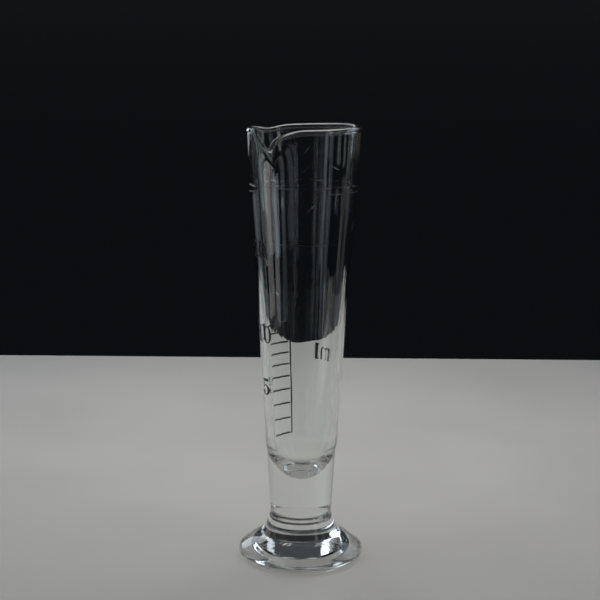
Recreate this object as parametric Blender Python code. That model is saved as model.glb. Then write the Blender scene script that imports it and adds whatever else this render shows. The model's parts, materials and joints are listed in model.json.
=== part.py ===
"""A footed 20 ml bar measure of clear glass, with a fired-on millilitre scale.

Metres, +Z up. The origin is the centre of the foot's underside and the lip points to -Y.
Four pieces of glass stand on each other: foot, collar, stem and bowl. The scale on the
outside of the bowl is one line, eleven marks, five digits and two letters of enamel.
"""

import math

import bmesh
import bpy
from mathutils import Vector

# Bowl: a straight cone outside, a wall that thins as it rises, and a deep rounded bottom
RIM_HEIGHT = 0.1256
MOUTH_RADIUS = 0.0162
SEAM_HEIGHT = 0.0330
SEAM_RADIUS = 0.01005
RIM_WALL = 0.0011
LOWER_WALL = 0.0021
THINNING_SHARE = 0.65
SHOULDER_RISE = 0.0040
CAVITY_DEPTH_BELOW_SEAM = 0.0085
BOTTOM_WALL = 0.0025
BOTTOM_POWER = 1.35
SEAT_LEDGE = 0.00145

# Rim and pouring lip
BEAD_SWELL = 0.00015
RIM_WAVE = 0.0004
RIM_HIGH_SIDE = math.radians(55)
LIP_ANGLE = math.radians(270)
LIP_HALF_WIDTH = math.radians(34)
LIP_DROP = 0.0052
LIP_EVEN_POWER = 1.9
LIP_STEEP_SHARE = 0.45
LIP_STEEP_POWER = 20
LIP_REACH = 0.0016
LIP_CURL = 4.5
LIP_PINCH = 0.0003
LIP_DEPTH = 0.0150
LIP_TIP_ROUNDING = 0.06

# Stem, collar and foot
STEM_TOP_SETBACK = 0.0002
STEM_BASE_RADIUS = 0.0089
COLLAR_RADIUS = 0.0112
COLLAR_HEIGHT = 0.0061
COLLAR_FLARE = 1.6
FOOT_RADIUS = 0.0180
FOOT_HEIGHT = 0.0075
FOOT_EDGE_UNDERCUT = 0.0034
FOOT_EDGE_HALF_HEIGHT = 0.0024
FOOT_EDGE_TOP = math.radians(40)
CONTACT_RING_WIDTH = 0.0027
RECESS_DEPTH = 0.0010
CORNER_ROUND = 0.0004

# Scale
ENAMEL_THICKNESS = 0.00012
ENAMEL_GAP = 0.00004
LINE_WIDTH = 0.0007
MARK_WIDTH = 0.0005
LINE_ANGLE = math.radians(142)
SHORT_MARK_SPAN = math.radians(48)
LONG_MARK_SPAN = math.radians(64)
LONG_MARKS = (5, 10)
LAST_STEP_MARK = 10
TOP_MARK = 20
TOP_MARK_START = math.radians(91)
TOP_MARK_END = math.radians(208)
NUMERAL_CENTRE = math.radians(239.5)
NUMERAL_LIFTS = {5: 0.0003, 10: 0.0, 20: 0.0012}
DIGIT_HEIGHT = 0.0049
DIGIT_WIDTH = 0.0037
DIGIT_SPACING = 0.0005
UNIT_CENTRE = math.radians(86)
UNIT_HEIGHT = 0.0048
UNIT_WIDTHS = {"m": 0.0046, "l": 0.0015}
UNIT_BELOW_MARK = 0.0018
UNIT_LEVEL_MARK = 7

# Shared
JOINT_GAP = 0.0003
SEGMENTS = 64
BAR_STEP = 0.0020
STRIP_WIDTH = 0.0010
CUBIC_MM = 1e-9
MILLILITRE = 1000 * CUBIC_MM

GLASS_COLOUR = (0.93, 0.96, 0.94, 1.0)
ENAMEL_COLOUR = (0.13, 0.035, 0.025, 1.0)

# Letter shapes in a box 1 high, anticlockwise, first the outline and then any hole.
# S is a smooth point and C a sharp one.
GLYPHS = {
    "0": (
        ((0.36, 0.00, "S"), (0.70, 0.50, "S"), (0.36, 1.00, "S"), (0.02, 0.50, "S")),
        ((0.36, 0.06, "S"), (0.20, 0.50, "S"), (0.36, 0.94, "S"), (0.52, 0.50, "S")),
    ),
    "1": (
        ((0.12, 0.00, "C"), (0.64, 0.00, "C"), (0.64, 0.05, "C"), (0.48, 0.08, "C"),
         (0.48, 1.00, "C"), (0.42, 1.00, "C"), (0.14, 0.86, "C"), (0.14, 0.80, "C"),
         (0.30, 0.84, "C"), (0.30, 0.08, "C"), (0.12, 0.05, "C")),
    ),
    "2": (
        ((0.03, 0.00, "C"), (0.66, 0.00, "C"), (0.70, 0.28, "C"), (0.64, 0.28, "C"),
         (0.56, 0.14, "C"), (0.22, 0.14, "C"), (0.46, 0.36, "S"), (0.69, 0.71, "S"),
         (0.37, 1.00, "S"), (0.04, 0.76, "S"), (0.15, 0.64, "S"), (0.26, 0.76, "S"),
         (0.23, 0.88, "S"), (0.36, 0.94, "S"), (0.51, 0.70, "S"), (0.34, 0.40, "S"),
         (0.03, 0.07, "C")),
    ),
    "5": (
        ((0.12, 1.00, "C"), (0.12, 0.45, "C"), (0.17, 0.45, "C"), (0.33, 0.57, "S"),
         (0.50, 0.32, "S"), (0.31, 0.06, "S"), (0.20, 0.11, "S"), (0.25, 0.22, "S"),
         (0.14, 0.31, "S"), (0.03, 0.20, "S"), (0.31, 0.00, "S"), (0.69, 0.33, "S"),
         (0.38, 0.64, "S"), (0.19, 0.58, "C"), (0.19, 0.84, "C"), (0.60, 0.84, "C"),
         (0.63, 1.00, "C")),
    ),
    "m": (
        ((0.02, 0.00, "C"), (0.18, 0.00, "C"), (0.18, 0.56, "S"), (0.28, 0.70, "S"),
         (0.36, 0.58, "S"), (0.36, 0.00, "C"), (0.52, 0.00, "C"), (0.52, 0.56, "S"),
         (0.62, 0.70, "S"), (0.70, 0.58, "S"), (0.70, 0.00, "C"), (0.86, 0.00, "C"),
         (0.86, 0.60, "S"), (0.70, 0.80, "S"), (0.52, 0.70, "S"), (0.36, 0.80, "S"),
         (0.18, 0.70, "C"), (0.18, 0.78, "C"), (0.02, 0.76, "C")),
    ),
    "l": (
        ((0.02, 0.00, "C"), (0.30, 0.00, "C"), (0.30, 0.05, "C"), (0.24, 0.07, "C"),
         (0.24, 1.00, "C"), (0.02, 0.96, "C"), (0.02, 0.90, "C"), (0.08, 0.89, "C"),
         (0.08, 0.07, "C"), (0.02, 0.05, "C")),
    ),
}


def remove_everything():
    for obj in list(bpy.data.objects):
        bpy.data.objects.remove(obj)


def material(name, colour, roughness, transmission):
    made = bpy.data.materials.new(name)
    made.use_nodes = True
    shader = made.node_tree.nodes["Principled BSDF"]
    shader.inputs["Base Color"].default_value = colour
    shader.inputs["Roughness"].default_value = roughness
    shader.inputs["Metallic"].default_value = 0.0
    shader.inputs["Transmission Weight"].default_value = transmission
    made.diffuse_color = colour
    return made


def add_object(name, bm, finish):
    """Makes one named object of a bmesh, with smooth round faces and sharp corners."""
    bmesh.ops.recalc_face_normals(bm, faces=bm.faces)
    if bm.calc_volume(signed=True) < 0:
        bmesh.ops.reverse_faces(bm, faces=bm.faces)
    mesh = bpy.data.meshes.new(name)
    bm.to_mesh(mesh)
    bm.free()
    mesh.shade_smooth()
    mesh.set_sharp_from_angle(angle=math.radians(35))
    mesh.materials.append(finish)
    obj = bpy.data.objects.new(name, mesh)
    bpy.context.scene.collection.objects.link(obj)
    return obj


# --- the bowl's wall and its rounded bottom ------------------------------------------------


def outer_radius(z):
    """Outside of the bowl at a height above the seam."""
    rise = (z - SEAM_HEIGHT) / (RIM_HEIGHT - SEAM_HEIGHT)
    return SEAM_RADIUS + (MOUTH_RADIUS - SEAM_RADIUS) * rise


SHOULDER_HEIGHT = SEAM_HEIGHT + SHOULDER_RISE
CAVITY_FLOOR = SEAM_HEIGHT - CAVITY_DEPTH_BELOW_SEAM
BOTTOM_RADIUS = SEAM_RADIUS - SEAT_LEDGE
BOTTOM_HEIGHT = CAVITY_FLOOR - BOTTOM_WALL
SHOULDER_INNER_RADIUS = outer_radius(SHOULDER_HEIGHT) - LOWER_WALL


def rounded_bottom(z, top, floor, top_radius):
    """Radius of a round-ended hollow or plug that is top_radius wide at top and ends at floor."""
    fraction = min(1.0, max(0.0, (top - z) / (top - floor)))
    return top_radius * math.sqrt(1.0 - fraction**BOTTOM_POWER)


def inner_radius(z):
    """Inside of the bowl at any height above the cavity's floor."""
    if z < SHOULDER_HEIGHT:
        return rounded_bottom(z, SHOULDER_HEIGHT, CAVITY_FLOOR, SHOULDER_INNER_RADIUS)
    rise = (z - SHOULDER_HEIGHT) / (RIM_HEIGHT - SHOULDER_HEIGHT)
    thinned = min(1.0, rise / THINNING_SHARE)
    thinned *= thinned * (3.0 - 2.0 * thinned)
    return outer_radius(z) - LOWER_WALL - (RIM_WALL - LOWER_WALL) * thinned


def fill_height(millilitres):
    """Height of the liquid when the bowl holds this much, found by adding thin slices."""
    slice_height = 0.00001
    z = CAVITY_FLOOR
    left = millilitres * MILLILITRE
    while left > 0:
        left -= math.pi * inner_radius(z + slice_height / 2) ** 2 * slice_height
        z += slice_height
    return z


def bottom_points(top, floor, top_radius, count):
    """A round bottom's profile from its top to its pole, close together near the pole."""
    points = []
    for step in range(count + 1):
        fraction = math.sin(math.pi / 2 * step / count)
        z = top - (top - floor) * fraction
        points.append((rounded_bottom(z, top, floor, top_radius), z))
    return points


# --- turned glass --------------------------------------------------------------------------


def turned(profile):
    """A solid of revolution. The profile is (radius, height) from pole to pole."""
    bm = bmesh.new()
    verts = [bm.verts.new((radius, 0.0, z)) for radius, z in profile]
    edges = [bm.edges.new(pair) for pair in zip(verts, verts[1:])]
    bmesh.ops.spin(
        bm,
        geom=verts + edges,
        axis=(0, 0, 1),
        cent=(0, 0, 0),
        angle=math.tau,
        steps=SEGMENTS,
        use_merge=True,
    )
    bmesh.ops.remove_doubles(bm, verts=bm.verts, dist=1e-7)
    bmesh.ops.dissolve_degenerate(bm, edges=bm.edges, dist=1e-7)
    return bm


def lip_shape(angle):
    """How far the lip has been pulled at this angle: 1 at its tip, 0 outside its width."""
    turn = abs(math.remainder(angle - LIP_ANGLE, math.tau)) / LIP_HALF_WIDTH
    rounded = math.hypot(turn, LIP_TIP_ROUNDING) - LIP_TIP_ROUNDING
    return max(0.0, 1.0 - rounded)


def lip_drop(angle, shape):
    """How far the rim is pulled down. The lip's side towards +X is steep only near the tip."""
    even = LIP_DROP * shape**LIP_EVEN_POWER
    if math.remainder(angle - LIP_ANGLE, math.tau) <= 0:
        return even
    steep = LIP_DROP * shape**LIP_STEEP_POWER
    return even + (steep - even) * LIP_STEEP_SHARE


def form_rim(bm):
    """Gives the spun bowl its slightly uneven rim and its pouring lip."""
    for vert in bm.verts:
        follow = (vert.co.z - (RIM_HEIGHT - LIP_DEPTH)) / LIP_DEPTH
        if follow <= 0:
            continue
        angle = math.atan2(vert.co.y, vert.co.x)
        radius = math.hypot(vert.co.x, vert.co.y)
        shape = lip_shape(angle)
        pinch = math.sin(math.pi * min(1.0, 2.0 * shape)) if shape < 0.5 else 0.0
        out = follow**LIP_CURL * (LIP_REACH * shape**2 - LIP_PINCH * pinch)
        wave = RIM_WAVE * (1.0 - math.cos(angle - RIM_HIGH_SIDE))
        vert.co.x *= (radius + out) / radius
        vert.co.y *= (radius + out) / radius
        vert.co.z -= follow * (wave + lip_drop(angle, shape))


def make_bowl(finish):
    bead = (RIM_WALL + BEAD_SWELL) / 2
    bead_radius = MOUTH_RADIUS - bead
    lip_rows = [RIM_HEIGHT - LIP_DEPTH * share for share in (1.0, 0.7, 0.45, 0.25, 0.12)]
    plug = bottom_points(SEAM_HEIGHT, BOTTOM_HEIGHT, BOTTOM_RADIUS, 4)
    profile = plug[::-1]
    profile.append((SEAM_RADIUS, SEAM_HEIGHT))
    profile += [(outer_radius(z), z) for z in lip_rows]
    for step in range(5):
        turn = math.pi * step / 4
        height = RIM_HEIGHT - bead + bead * math.sin(turn)
        profile.append((bead_radius + bead * math.cos(turn), height))
    profile += [(inner_radius(z), z) for z in reversed(lip_rows)]
    wall = lip_rows[0] - SHOULDER_HEIGHT
    wall_rows = [SHOULDER_HEIGHT + wall * share for share in (0.72, 0.56, 0.42, 0.28, 0.14)]
    profile += [(inner_radius(z), z) for z in wall_rows]
    profile += bottom_points(SHOULDER_HEIGHT, CAVITY_FLOOR, SHOULDER_INNER_RADIUS, 6)
    bm = turned(profile)
    form_rim(bm)
    return add_object("bowl", bm, finish)


FOOT_TOP = FOOT_HEIGHT
COLLAR_BASE = FOOT_TOP + JOINT_GAP
COLLAR_TOP = COLLAR_BASE + COLLAR_HEIGHT
STEM_BASE = COLLAR_TOP + JOINT_GAP
STEM_TOP = SEAM_HEIGHT - JOINT_GAP


def make_stem(finish):
    top_radius = SEAM_RADIUS - STEM_TOP_SETBACK
    socket = bottom_points(
        STEM_TOP, BOTTOM_HEIGHT - JOINT_GAP, BOTTOM_RADIUS + JOINT_GAP, 5
    )
    profile = [
        (0.0, STEM_BASE),
        (STEM_BASE_RADIUS - CORNER_ROUND, STEM_BASE),
        (STEM_BASE_RADIUS, STEM_BASE + CORNER_ROUND),
        (top_radius, STEM_TOP - CORNER_ROUND),
        (top_radius - CORNER_ROUND / 2, STEM_TOP),
    ]
    return add_object("stem", turned(profile + socket), finish)


def make_collar(finish):
    """The disc that spreads the stem onto the foot: a hollow-sided flare."""
    steps = 5
    profile = [(0.0, COLLAR_BASE), (COLLAR_RADIUS - CORNER_ROUND, COLLAR_BASE)]
    for step in range(steps + 1):
        fraction = step / steps
        spread = (COLLAR_RADIUS - STEM_BASE_RADIUS) * (1.0 - fraction) ** COLLAR_FLARE
        z = COLLAR_BASE + CORNER_ROUND / 2 + (COLLAR_HEIGHT - CORNER_ROUND) * fraction
        profile.append((STEM_BASE_RADIUS + spread, z))
    profile.append((STEM_BASE_RADIUS - CORNER_ROUND, COLLAR_TOP))
    profile.append((0.0, COLLAR_TOP))
    return add_object("collar", turned(profile), finish)


def make_foot(finish):
    """The pressed foot: a recess, a flat contact ring, a full-round edge and a domed top."""
    ring_outer = FOOT_RADIUS - FOOT_EDGE_UNDERCUT
    ring_inner = ring_outer - CONTACT_RING_WIDTH
    profile = [
        (0.0, RECESS_DEPTH),
        (ring_inner - RECESS_DEPTH, RECESS_DEPTH),
        (ring_inner, 0.0),
    ]
    steps = 6
    for step in range(steps + 1):
        turn = -math.pi / 2 + (FOOT_EDGE_TOP + math.pi / 2) * step / steps
        radius = ring_outer + FOOT_EDGE_UNDERCUT * math.cos(turn)
        profile.append((radius, FOOT_EDGE_HALF_HEIGHT * (1.0 + math.sin(turn))))
    edge_radius, edge_height = profile[-1]
    for fraction in (0.35, 0.7):
        crown = CORNER_ROUND * math.sin(math.pi * fraction)
        radius = edge_radius + (COLLAR_RADIUS - edge_radius) * fraction
        profile.append((radius, edge_height + (FOOT_TOP - edge_height) * fraction + crown))
    profile.append((COLLAR_RADIUS, FOOT_TOP))
    profile.append((0.0, FOOT_TOP))
    return add_object("foot", turned(profile), finish)


# --- enamel on the bowl's cone -------------------------------------------------------------


def enamel_bar(name, start, end, low, high, finish):
    """A bar of enamel between two angles and two heights, lying on the cone."""
    steps = max(1, math.ceil((end - start) * outer_radius(low) / BAR_STEP))
    clear_chord = 1 / math.cos((end - start) / steps / 2)
    bm = bmesh.new()
    corners = []
    for z, lift in ((low, 0), (low, 1), (high, 1), (high, 0)):
        radius = (outer_radius(z) + ENAMEL_GAP) * clear_chord + lift * ENAMEL_THICKNESS
        corners.append(
            bm.verts.new((radius * math.cos(start), radius * math.sin(start), z))
        )
    section = bm.faces.new(corners)
    bmesh.ops.spin(
        bm,
        geom=[section, *section.edges, *section.verts],
        axis=(0, 0, 1),
        cent=(0, 0, 0),
        angle=end - start,
        steps=steps,
    )
    return add_object(name, bm, finish)


def glyph_mesh(character):
    """The flat, filled and extruded letter, 1 high, lying in X and Y."""
    curve = bpy.data.curves.new("outline_" + character, "CURVE")
    curve.dimensions = "2D"
    curve.fill_mode = "BOTH"
    curve.extrude = 0.5
    curve.resolution_u = 3
    for outline in GLYPHS[character]:
        spline = curve.splines.new("BEZIER")
        spline.bezier_points.add(len(outline) - 1)
        spline.use_cyclic_u = True
        for point, (x, y, kind) in zip(spline.bezier_points, outline):
            point.co = (x, y, 0.0)
            handle = "AUTO" if kind == "S" else "VECTOR"
            point.handle_left_type = handle
            point.handle_right_type = handle
    holder = bpy.data.objects.new("outline_" + character, curve)
    bpy.context.scene.collection.objects.link(holder)
    bpy.context.view_layer.update()
    mesh = bpy.data.meshes.new_from_object(holder)
    bpy.data.objects.remove(holder)
    return mesh


def enamel_glyph(name, character, angle, base, width, height, finish):
    """One letter wrapped onto the cone, its left edge at this angle and its foot at base."""
    mesh = glyph_mesh(character)
    bm = bmesh.new()
    bm.from_mesh(mesh)
    bpy.data.meshes.remove(mesh)
    bmesh.ops.remove_doubles(bm, verts=bm.verts, dist=1e-5)
    right = max(vert.co.x for vert in bm.verts)
    left = min(vert.co.x for vert in bm.verts)
    strips = math.ceil(width / STRIP_WIDTH)
    for strip in range(1, strips):
        cut = left + (right - left) * strip / strips
        bmesh.ops.bisect_plane(
            bm,
            geom=[*bm.verts, *bm.edges, *bm.faces],
            dist=1e-4,
            plane_co=(cut, 0, 0),
            plane_no=(1, 0, 0),
        )
    middle_radius = outer_radius(base + height / 2)
    clear_chord = 1 / math.cos(width / strips / middle_radius / 2)
    for vert in bm.verts:
        across = width * (vert.co.x - left) / (right - left)
        turn = angle + across / middle_radius
        z = base + height * vert.co.y
        lift = ENAMEL_THICKNESS * (vert.co.z + 0.5)
        radius = (outer_radius(z) + ENAMEL_GAP) * clear_chord + lift
        vert.co = Vector((radius * math.cos(turn), radius * math.sin(turn), z))
    return add_object(name, bm, finish)


def make_scale(finish):
    first = fill_height(1) - MARK_WIDTH / 2
    last = fill_height(LAST_STEP_MARK) + MARK_WIDTH / 2
    half_line = LINE_WIDTH / 2 / outer_radius((first + last) / 2)
    enamel_bar(
        "scale_line", LINE_ANGLE - half_line, LINE_ANGLE + half_line, first, last, finish
    )
    for number in range(1, LAST_STEP_MARK + 1):
        z = fill_height(number)
        gap = JOINT_GAP / outer_radius(z)
        span = LONG_MARK_SPAN if number in LONG_MARKS else SHORT_MARK_SPAN
        enamel_bar(
            f"mark_{number:02d}",
            LINE_ANGLE + half_line + gap,
            LINE_ANGLE + span,
            z - MARK_WIDTH / 2,
            z + MARK_WIDTH / 2,
            finish,
        )
    z = fill_height(TOP_MARK)
    enamel_bar(
        f"mark_{TOP_MARK}",
        TOP_MARK_START,
        TOP_MARK_END,
        z - MARK_WIDTH / 2,
        z + MARK_WIDTH / 2,
        finish,
    )


def make_numerals(finish):
    for number, lift in NUMERAL_LIFTS.items():
        digits = str(number)
        middle = fill_height(number) + lift
        length = len(digits) * DIGIT_WIDTH + (len(digits) - 1) * DIGIT_SPACING
        for place, digit in enumerate(digits):
            along = place * (DIGIT_WIDTH + DIGIT_SPACING) - length / 2
            enamel_glyph(
                f"numeral_{number:02d}_digit_{digit}",
                digit,
                NUMERAL_CENTRE + along / outer_radius(middle),
                middle - DIGIT_HEIGHT / 2,
                DIGIT_WIDTH,
                DIGIT_HEIGHT,
                finish,
            )


def make_unit(finish):
    base = fill_height(UNIT_LEVEL_MARK) - UNIT_BELOW_MARK
    along = -(sum(UNIT_WIDTHS.values()) + DIGIT_SPACING) / 2
    for letter, width in UNIT_WIDTHS.items():
        enamel_glyph(
            "unit_letter_" + letter,
            letter,
            UNIT_CENTRE + along / outer_radius(base),
            base,
            width,
            UNIT_HEIGHT,
            finish,
        )
        along += width + DIGIT_SPACING


def main():
    remove_everything()
    make_bowl(material("bowl_glass", GLASS_COLOUR, 0.02, 1.0))
    make_stem(material("stem_glass", GLASS_COLOUR, 0.02, 1.0))
    make_collar(material("collar_glass", GLASS_COLOUR, 0.03, 1.0))
    make_foot(material("foot_glass", GLASS_COLOUR, 0.05, 1.0))
    make_scale(material("scale_enamel", ENAMEL_COLOUR, 0.45, 0.0))
    make_numerals(material("numeral_enamel", ENAMEL_COLOUR, 0.45, 0.0))
    make_unit(material("unit_enamel", ENAMEL_COLOUR, 0.45, 0.0))


main()
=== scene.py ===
"""A footed 20 ml bar measure of clear glass with a fired-on scale, dressed for a studio picture.

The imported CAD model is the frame. One continuous piece of glass stands for its four glass
nodes, because the real measure is one body of fused glass, and each line, mark, digit and
letter of enamel stands for its own node. Sizes are in metres, and +Z is up.
"""

import json
import logging
import math
from collections.abc import Callable
from dataclasses import dataclass, field
from enum import Enum

import bmesh
import bpy
from mathutils import Matrix, Vector, noise

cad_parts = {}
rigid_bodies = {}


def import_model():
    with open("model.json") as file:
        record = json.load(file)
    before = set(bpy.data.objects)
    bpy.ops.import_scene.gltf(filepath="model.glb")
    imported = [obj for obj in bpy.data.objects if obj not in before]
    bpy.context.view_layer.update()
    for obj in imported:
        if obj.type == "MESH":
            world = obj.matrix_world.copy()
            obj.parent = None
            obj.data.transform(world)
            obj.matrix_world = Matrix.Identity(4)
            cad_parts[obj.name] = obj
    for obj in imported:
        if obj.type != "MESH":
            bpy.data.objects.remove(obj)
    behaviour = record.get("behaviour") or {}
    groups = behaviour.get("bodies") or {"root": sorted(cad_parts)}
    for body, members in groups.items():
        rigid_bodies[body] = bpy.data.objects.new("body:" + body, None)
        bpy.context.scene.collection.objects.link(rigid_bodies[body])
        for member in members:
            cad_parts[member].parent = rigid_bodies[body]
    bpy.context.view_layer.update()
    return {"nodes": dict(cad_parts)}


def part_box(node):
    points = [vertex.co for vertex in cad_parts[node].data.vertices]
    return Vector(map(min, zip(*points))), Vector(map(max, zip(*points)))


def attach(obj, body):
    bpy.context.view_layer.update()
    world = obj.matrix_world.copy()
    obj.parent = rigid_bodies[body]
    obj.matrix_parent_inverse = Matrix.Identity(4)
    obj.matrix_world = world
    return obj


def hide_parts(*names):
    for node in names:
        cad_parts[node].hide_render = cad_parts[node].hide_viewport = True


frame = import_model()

LOG = logging.getLogger("measure")
ROOT_BODY = "root"
LEAST_RADIUS = 0.0001
ON_AXIS = 1e-7
MERGE_DISTANCE = 1e-6

# A letter before it is sized, when it is 1 high.
LETTER_THICKNESS = 0.1
LETTER_STEPS = 9
LETTER_MERGE_DISTANCE = 1e-4

Point = tuple[float, float]
Colour = tuple[float, float, float, float]
Tint = tuple[float, float, float]
Socket = bpy.types.NodeSocket


class Handle(Enum):
    """How a letter's outline passes through a point."""

    SMOOTH = "AUTO"
    SHARP = "VECTOR"


S = Handle.SMOOTH
C = Handle.SHARP
GlyphPoint = tuple[float, float, Handle]

# Letter shapes in a box 1 high, anticlockwise, first the outline and then any hole.
# S is a smooth point and C a sharp one.
GLYPHS: dict[str, tuple[tuple[GlyphPoint, ...], ...]] = {
    "0": (
        ((0.36, 0.00, S), (0.70, 0.50, S), (0.36, 1.00, S), (0.02, 0.50, S)),
        ((0.36, 0.06, S), (0.20, 0.50, S), (0.36, 0.94, S), (0.52, 0.50, S)),
    ),
    "1": (
        ((0.12, 0.00, C), (0.64, 0.00, C), (0.64, 0.05, C), (0.48, 0.08, C),
         (0.48, 1.00, C), (0.42, 1.00, C), (0.14, 0.86, C), (0.14, 0.80, C),
         (0.30, 0.84, C), (0.30, 0.08, C), (0.12, 0.05, C)),
    ),
    "2": (
        ((0.03, 0.00, C), (0.66, 0.00, C), (0.70, 0.28, C), (0.64, 0.28, C),
         (0.56, 0.14, C), (0.22, 0.14, C), (0.46, 0.36, S), (0.69, 0.71, S),
         (0.37, 1.00, S), (0.04, 0.76, S), (0.15, 0.64, S), (0.26, 0.76, S),
         (0.23, 0.88, S), (0.36, 0.94, S), (0.51, 0.70, S), (0.34, 0.40, S),
         (0.03, 0.07, C)),
    ),
    "5": (
        ((0.12, 1.00, C), (0.12, 0.45, C), (0.17, 0.45, C), (0.33, 0.57, S),
         (0.50, 0.32, S), (0.31, 0.06, S), (0.20, 0.11, S), (0.25, 0.22, S),
         (0.14, 0.31, S), (0.03, 0.20, S), (0.31, 0.00, S), (0.69, 0.33, S),
         (0.38, 0.64, S), (0.19, 0.58, C), (0.19, 0.84, C), (0.60, 0.84, C),
         (0.63, 1.00, C)),
    ),
    "m": (
        ((0.02, 0.00, C), (0.18, 0.00, C), (0.18, 0.56, S), (0.28, 0.70, S),
         (0.36, 0.58, S), (0.36, 0.00, C), (0.52, 0.00, C), (0.52, 0.56, S),
         (0.62, 0.70, S), (0.70, 0.58, S), (0.70, 0.00, C), (0.86, 0.00, C),
         (0.86, 0.60, S), (0.70, 0.80, S), (0.52, 0.70, S), (0.36, 0.80, S),
         (0.18, 0.70, C), (0.18, 0.78, C), (0.02, 0.76, C)),
    ),
    "l": (
        ((0.02, 0.00, C), (0.30, 0.00, C), (0.30, 0.05, C), (0.24, 0.07, C),
         (0.24, 1.00, C), (0.02, 0.96, C), (0.02, 0.90, C), (0.08, 0.89, C),
         (0.08, 0.07, C), (0.02, 0.05, C)),
    ),
}


# --- small modelling helpers -----------------------------------------------------------------


def deselect() -> None:
    """Leaves nothing selected and nothing active."""
    bpy.ops.object.select_all(action="DESELECT")
    bpy.context.view_layer.objects.active = None


def only(obj: bpy.types.Object) -> None:
    """Selects one object and makes it active.

    Args:
        obj: The object that the next operator works on.
    """
    deselect()
    obj.select_set(True)
    bpy.context.view_layer.objects.active = obj


def apply_modifier(obj: bpy.types.Object, kind: str, **settings: object) -> None:
    """Adds a modifier to an object, sets it up and applies it.

    Args:
        obj: The object to change.
        kind: The modifier's type, such as BEVEL.
        settings: The modifier's values by name.
    """
    only(obj)
    modifier = obj.modifiers.new(kind.lower(), kind)
    for name, value in settings.items():
        setattr(modifier, name, value)
    bpy.ops.object.modifier_apply(modifier=modifier.name)


def soften_edges(obj: bpy.types.Object, width: float, segments: int) -> None:
    """Rounds an object's sharp edges.

    Args:
        obj: The object to change.
        width: How far back from each edge the round starts.
        segments: How many faces the round has.
    """
    sharp = math.radians(50)
    apply_modifier(obj, "BEVEL", width=width, segments=segments, limit_method="ANGLE", angle_limit=sharp)


def triangle_count(obj: bpy.types.Object) -> int:
    """Counts the triangles that an object's faces make."""
    return sum(len(face.vertices) - 2 for face in obj.data.polygons)


def smoothstep(low: float, high: float, value: float) -> float:
    """Goes smoothly from 0 at low to 1 at high."""
    share = min(1.0, max(0.0, (value - low) / (high - low)))
    return share * share * (3.0 - 2.0 * share)


def hump(value: float, centre: float, width: float) -> float:
    """A smooth bell that is 1 at its centre."""
    return math.exp(-(((value - centre) / width) ** 2))


def turn_between(angle: float, centre: float) -> float:
    """The signed angle from a centre, between half a turn back and half a turn on."""
    return math.remainder(angle - centre, math.tau)


def radii_and_heights(node: str) -> list[Point]:
    """Gives each point of a CAD node as its distance from the axis and its height."""
    return [(math.hypot(vert.co.x, vert.co.y), vert.co.z) for vert in frame["nodes"][node].data.vertices]


def angle_range(node: str) -> tuple[float, float]:
    """Reads which part of the turn a CAD node on the bowl covers.

    Args:
        node: The CAD node's name.

    Returns:
        Its first and last angle round the axis, in radians, the last one larger.
    """
    low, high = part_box(node)
    middle = (low + high) / 2
    centre = math.atan2(middle.y, middle.x)
    turns = [
        turn_between(math.atan2(vert.co.y, vert.co.x), centre)
        for vert in frame["nodes"][node].data.vertices
    ]
    return centre + min(turns), centre + max(turns)


# --- materials -------------------------------------------------------------------------------


# A Mix node that mixes colours has several sockets of each name, so they go by number.
MIX_FACTOR, MIX_FIRST, MIX_SECOND, MIX_RESULT = 0, 6, 7, 2


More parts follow.
